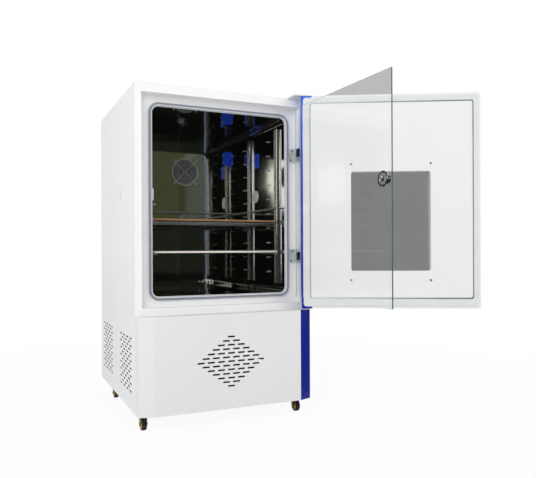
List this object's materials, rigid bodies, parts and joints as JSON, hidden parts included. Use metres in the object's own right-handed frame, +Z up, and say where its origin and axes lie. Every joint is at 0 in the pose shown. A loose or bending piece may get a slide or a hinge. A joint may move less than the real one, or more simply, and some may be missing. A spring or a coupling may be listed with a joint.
{
  "type": "laboratory incubator",
  "caption": "Floor-standing laboratory incubator on casters, with an insulated outer door, a glass inner door, shelves in a steel chamber and a cooling unit below.",
  "frame": {"origin": "centre of the cabinet's underside, under the middle of its width and depth; the casters reach below it", "axes": "+Z up; the chamber opens towards -Y; the door hinges are on the +X side"},
  "size_m": [1.3751, 1.4867, 1.3688],
  "materials": {
    "cabinet_white": "satin",
    "galvanised": "satin",
    "mirror_steel": "polished",
    "fibre_blanket": "matte",
    "seal_grey": "satin",
    "seal_white": "satin",
    "bright_wire": "polished",
    "aluminium_fin": "satin",
    "trim_blue": "gloss",
    "white_plastic": "satin",
    "black_plastic": "satin",
    "window_glass": "gloss",
    "door_glass": "gloss",
    "brass_bush": "satin",
    "caster_black": "matte",
    "black_paint": "satin",
    "copper": "satin"
  },
  "bodies": {
    "cabinet": {"left_side_panel": "cabinet_white", "right_side_panel": "cabinet_white", "top_panel": "cabinet_white", "rear_panel": "cabinet_white", "base_pan": "cabinet_white", "machine_deck": "galvanised", "front_frame": "cabinet_white", "chamber_liner": "mirror_steel", "insulation": "fibre_blanket", "chamber_seal": "seal_grey", "duct_panel": "mirror_steel", "fan_guard": "bright_wire", "fan_motor": "galvanised", "plenum_coils": "aluminium_fin", "temperature_probe": "mirror_steel", "cover_plates": "trim_blue", "shelf_standards": "mirror_steel", "shelf_runners": "bright_wire", "port_fittings": "white_plastic", "lower_front_panel": "cabinet_white", "lower_corner_column": "trim_blue", "door_hinge_plates": "galvanised", "glass_hinge_leaves": "galvanised", "latch_catch": "white_plastic", "caster_plates": "galvanised", "compressor": "black_paint", "condenser_coil": "aluminium_fin", "condenser_shroud": "galvanised", "electrical_box": "galvanised", "power_inlet": "black_plastic", "refrigerant_lines": "copper"},
    "outer_door": {"door_shell": "cabinet_white", "door_corner_column": "trim_blue", "door_insulation": "fibre_blanket", "door_inner_panel": "white_plastic", "door_gasket": "seal_white", "window_frame": "white_plastic", "window_panes": "window_glass", "door_screws": "galvanised", "door_handle": "bright_wire", "control_housing": "black_plastic", "control_inlays": "black_plastic", "door_bushes": "brass_bush"},
    "glass_door": {"glass_door_pane": "door_glass", "glass_clamps": "black_plastic"},
    "latch": {"latch_knob": "black_plastic", "latch_shaft": "bright_wire"},
    "shelf_upper": {"upper_shelf": "bright_wire"},
    "shelf_lower": {"lower_shelf": "bright_wire"},
    "impeller": {"circulation_impeller": "black_plastic"},
    "blower": {"condenser_fan": "black_plastic"},
    "rocker": {"power_rocker": "black_plastic"},
    "fork_front_left": {"caster_fork_front_left": "galvanised"},
    "wheel_front_left": {"caster_wheel_front_left": "caster_black"},
    "fork_front_right": {"caster_fork_front_right": "galvanised"},
    "wheel_front_right": {"caster_wheel_front_right": "caster_black"},
    "fork_rear_left": {"caster_fork_rear_left": "galvanised"},
    "wheel_rear_left": {"caster_wheel_rear_left": "caster_black"},
    "fork_rear_right": {"caster_fork_rear_right": "galvanised"},
    "wheel_rear_right": {"caster_wheel_rear_right": "caster_black"}
  },
  "joints": [
    {"name": "door_hinge", "type": "hinge", "parent": "cabinet", "child": "outer_door", "pos_m": [0.355, -0.443, 0.8], "axis": [0, 0, 1], "range_deg": [-151.5, 3.5]},
    {"name": "glass_door_hinge", "type": "hinge", "parent": "cabinet", "child": "glass_door", "pos_m": [0.343, -0.398, 0.8], "axis": [0, 0, 1], "range_deg": [-92.21, 2.15]},
    {"name": "latch_turn", "type": "hinge", "parent": "glass_door", "child": "latch", "pos_m": [0.33917, -1.02761, 0.884], "axis": [-0.9993, -0.0384, 0], "range_deg": [0, 90]},
    {"name": "upper_shelf_slide", "type": "slide", "parent": "cabinet", "child": "shelf_upper", "axis": [0, -1, 0], "range_m": [0, 0.3]},
    {"name": "lower_shelf_slide", "type": "slide", "parent": "cabinet", "child": "shelf_lower", "axis": [0, -1, 0], "range_m": [0, 0.3]},
    {"name": "circulation_fan_spin", "type": "hinge", "parent": "cabinet", "child": "impeller", "pos_m": [0.003, 0.2, 1.036], "axis": [0, 1, 0], "continuous": true},
    {"name": "condenser_fan_spin", "type": "hinge", "parent": "cabinet", "child": "blower", "pos_m": [0, -0.26, 0.18], "axis": [0, 1, 0], "continuous": true},
    {"name": "rocker_tilt", "type": "hinge", "parent": "cabinet", "child": "rocker", "pos_m": [-0.235, 0.394, 0.09], "axis": [1, 0, 0], "range_deg": [0, 10]},
    {"name": "swivel_front_left", "type": "hinge", "parent": "cabinet", "child": "fork_front_left", "pos_m": [-0.342, -0.363, -0.01], "axis": [0, 0, 1], "continuous": true},
    {"name": "roll_front_left", "type": "hinge", "parent": "fork_front_left", "child": "wheel_front_left", "pos_m": [-0.342, -0.387, -0.04], "axis": [1, 0, 0], "continuous": true},
    {"name": "swivel_front_right", "type": "hinge", "parent": "cabinet", "child": "fork_front_right", "pos_m": [0.33, -0.363, -0.01], "axis": [0, 0, 1], "continuous": true},
    {"name": "roll_front_right", "type": "hinge", "parent": "fork_front_right", "child": "wheel_front_right", "pos_m": [0.33, -0.387, -0.04], "axis": [1, 0, 0], "continuous": true},
    {"name": "swivel_rear_left", "type": "hinge", "parent": "cabinet", "child": "fork_rear_left", "pos_m": [-0.342, 0.219, -0.01], "axis": [0, 0, 1], "continuous": true},
    {"name": "roll_rear_left", "type": "hinge", "parent": "fork_rear_left", "child": "wheel_rear_left", "pos_m": [-0.342, 0.195, -0.04], "axis": [1, 0, 0], "continuous": true},
    {"name": "swivel_rear_right", "type": "hinge", "parent": "cabinet", "child": "fork_rear_right", "pos_m": [0.33, 0.219, -0.01], "axis": [0, 0, 1], "continuous": true},
    {"name": "roll_rear_right", "type": "hinge", "parent": "fork_rear_right", "child": "wheel_rear_right", "pos_m": [0.33, 0.195, -0.04], "axis": [1, 0, 0], "continuous": true}
  ],
  "couplings": [
    {"joint": "glass_door_hinge", "follows": "door_hinge", "ratio": 0.60858}
  ]
}
